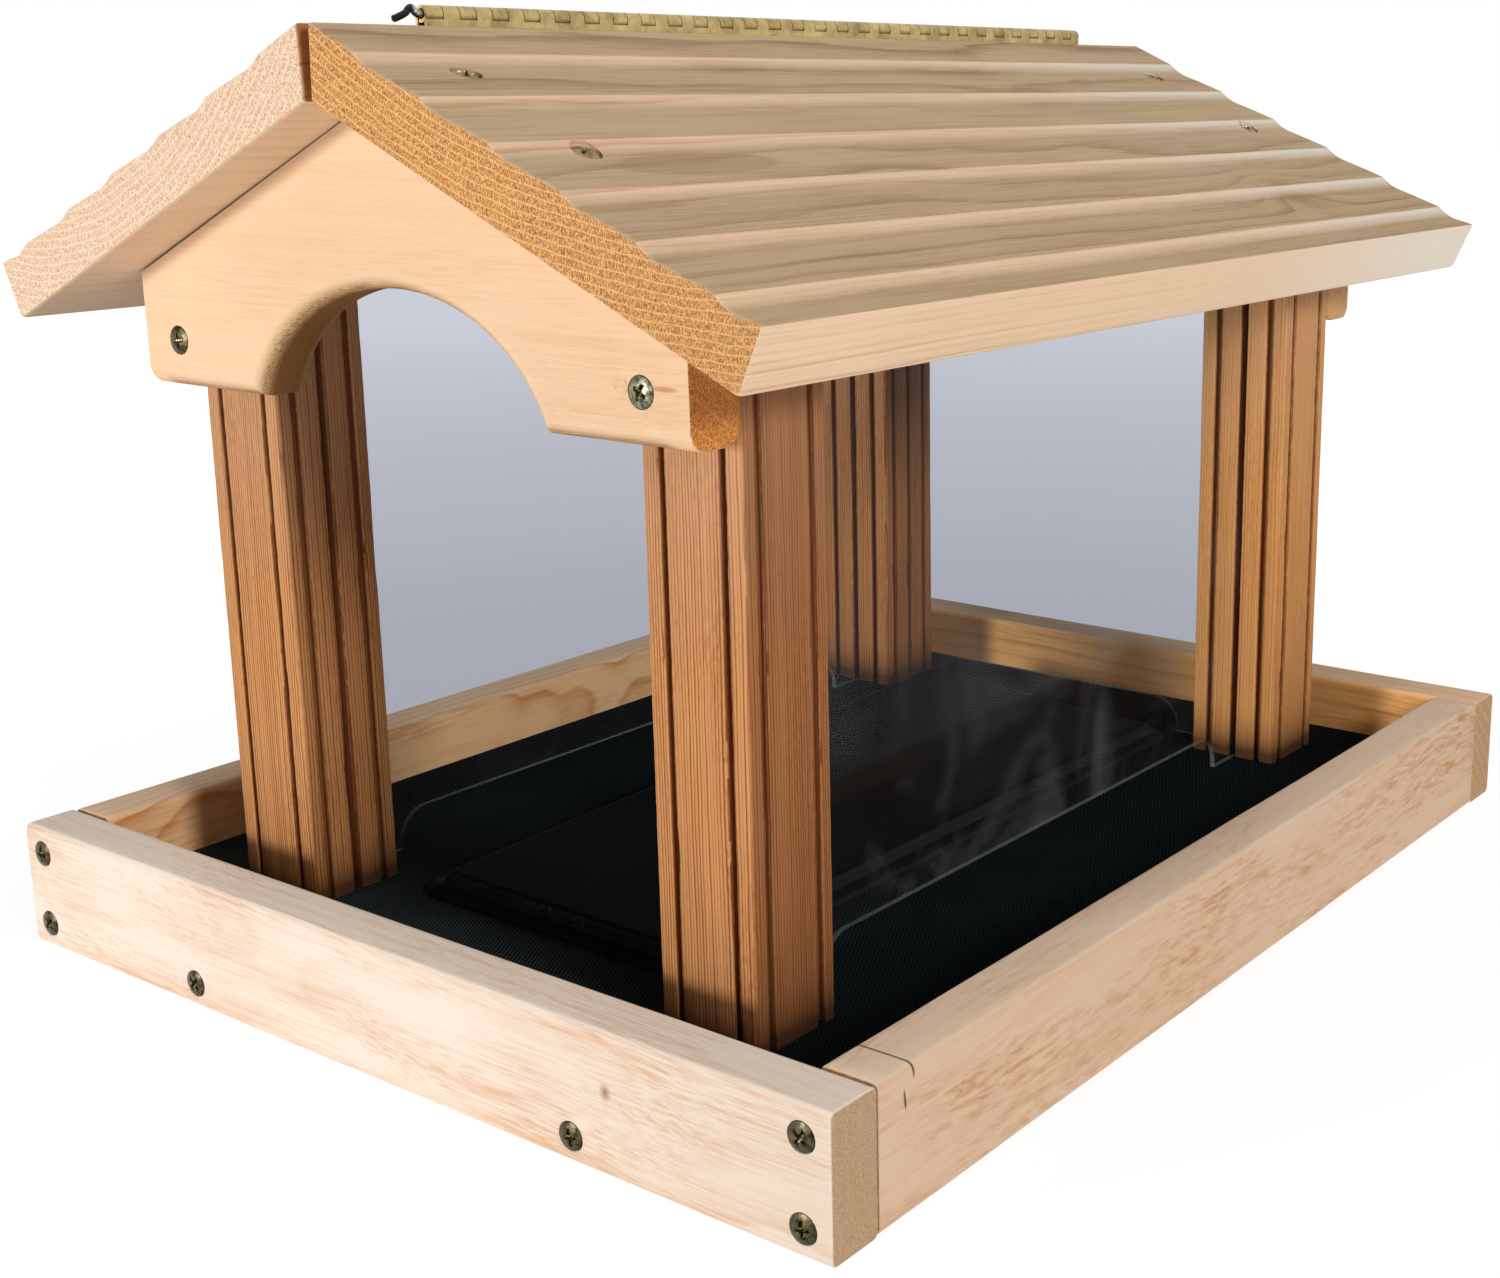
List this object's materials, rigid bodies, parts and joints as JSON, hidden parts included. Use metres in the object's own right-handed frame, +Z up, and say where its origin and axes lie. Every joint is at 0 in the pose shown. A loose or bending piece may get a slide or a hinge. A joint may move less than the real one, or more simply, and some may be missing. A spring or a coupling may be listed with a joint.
{
  "type": "bird feeder",
  "caption": "Cedar tray bird feeder: fluted posts on an open tray, arched gable boards, clear panes with low seed ports, and a lap-board roof with one half hinged along the ridge.",
  "frame": {"origin": "middle of the tray's underside, where the feeder stands", "axes": "+X to the right seen from the open front, +Y along the ridge from the open front to the back, +Z up"},
  "size_m": [0.355, 0.4398, 0.3112],
  "materials": {
    "cedar_rail": "planed pale cedar, unfinished",
    "cedar_roof": "sawn and moulded cedar, unfinished",
    "cedar_post": "reddish brown cedar, unfinished",
    "black_screen": "fine black woven screen",
    "black_plate": "satin",
    "clear_pane": "clear plastic sheet",
    "brass_hinge": "brass-plated strip",
    "steel_wire": "drawn wire",
    "screw_metal": "antique brass plated steel"
  },
  "bodies": {
    "feeder": {"front_rail": "cedar_rail", "back_rail": "cedar_rail", "left_rail": "cedar_rail", "right_rail": "cedar_rail", "bearer_left": "cedar_rail", "bearer_right": "cedar_rail", "floor_screen": "black_screen", "seed_plate": "black_plate", "post_front_left": "cedar_post", "post_front_right": "cedar_post", "post_back_left": "cedar_post", "post_back_right": "cedar_post", "pane_left": "clear_pane", "pane_right": "clear_pane", "pane_back": "clear_pane", "gable_front": "cedar_rail", "gable_back": "cedar_rail", "roof_fixed": "cedar_roof", "hinge_leaf_fixed": "brass_hinge", "hinge_pin": "steel_wire", "screw_front_rail_left_low": "screw_metal", "screw_front_rail_left_high": "screw_metal", "screw_front_rail_right_low": "screw_metal", "screw_front_rail_right_high": "screw_metal", "screw_back_rail_left_low": "screw_metal", "screw_back_rail_left_high": "screw_metal", "screw_back_rail_right_low": "screw_metal", "screw_back_rail_right_high": "screw_metal", "screw_front_bearer_left": "screw_metal", "screw_front_bearer_right": "screw_metal", "screw_back_bearer_left": "screw_metal", "screw_back_bearer_right": "screw_metal", "screw_front_gable_left": "screw_metal", "screw_front_gable_right": "screw_metal", "screw_back_gable_left": "screw_metal", "screw_back_gable_right": "screw_metal", "screw_front_foot_left": "screw_metal", "screw_front_foot_right": "screw_metal", "screw_back_foot_left": "screw_metal", "screw_back_foot_right": "screw_metal", "screw_front_roof_high": "screw_metal", "screw_front_roof_low": "screw_metal", "screw_back_roof_high": "screw_metal", "screw_back_roof_low": "screw_metal"},
    "roof_half": {"roof_flap": "cedar_roof", "hinge_leaf_flap": "brass_hinge"}
  },
  "joints": [
    {"name": "roof_hinge", "type": "hinge", "parent": "feeder", "child": "roof_half", "pos_m": [0, 0, 0.30861], "axis": [0, 1, 0], "range_deg": [0, 130]}
  ]
}
